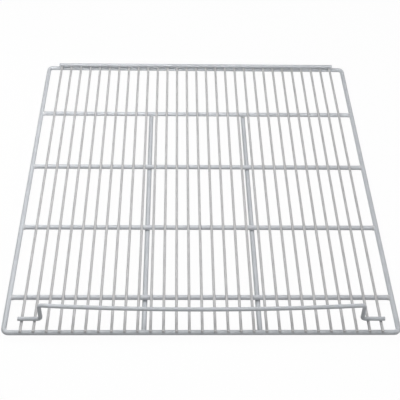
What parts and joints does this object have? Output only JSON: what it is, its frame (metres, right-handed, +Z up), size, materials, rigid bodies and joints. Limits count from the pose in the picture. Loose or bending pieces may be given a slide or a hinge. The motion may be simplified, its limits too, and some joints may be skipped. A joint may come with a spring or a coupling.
{
  "type": "walk-in cooler shelf",
  "caption": "Flat welded wire shelf: a rounded rectangular frame with cross rods, close deck wires, stiffeners underneath, a back stop and a raised front rail.",
  "frame": {"origin": "on the surface that the shelf lies on, under the middle of its outer box", "axes": "+X across the shelf to the right, +Y from its front rail to its back stop, +Z up"},
  "size_m": [0.6096, 0.6858, 0.0582],
  "materials": {
    "frame_coating": "satin coating",
    "deck_wire_coating": "satin coating",
    "stop_coating": "satin coating"
  },
  "bodies": {
    "root": {"perimeter_frame": "frame_coating", "cross_rod_1": "frame_coating", "cross_rod_2": "frame_coating", "cross_rod_3": "frame_coating", "cross_rod_4": "frame_coating", "deck_wire_01": "deck_wire_coating", "deck_wire_02": "deck_wire_coating", "deck_wire_03": "deck_wire_coating", "deck_wire_04": "deck_wire_coating", "deck_wire_05": "deck_wire_coating", "deck_wire_06": "deck_wire_coating", "deck_wire_07": "deck_wire_coating", "deck_wire_08": "deck_wire_coating", "deck_wire_09": "deck_wire_coating", "deck_wire_10": "deck_wire_coating", "deck_wire_11": "deck_wire_coating", "deck_wire_12": "deck_wire_coating", "deck_wire_13": "deck_wire_coating", "deck_wire_14": "deck_wire_coating", "deck_wire_15": "deck_wire_coating", "deck_wire_16": "deck_wire_coating", "deck_wire_17": "deck_wire_coating", "deck_wire_18": "deck_wire_coating", "deck_wire_19": "deck_wire_coating", "deck_wire_20": "deck_wire_coating", "deck_wire_21": "deck_wire_coating", "deck_wire_22": "deck_wire_coating", "deck_wire_23": "deck_wire_coating", "deck_wire_24": "deck_wire_coating", "deck_wire_25": "deck_wire_coating", "deck_wire_26": "deck_wire_coating", "deck_wire_27": "deck_wire_coating", "deck_wire_28": "deck_wire_coating", "deck_wire_29": "deck_wire_coating", "stiffener_left": "frame_coating", "stiffener_right": "frame_coating", "back_stop_rod": "stop_coating", "front_rail": "stop_coating"}
  },
  "joints": []
}
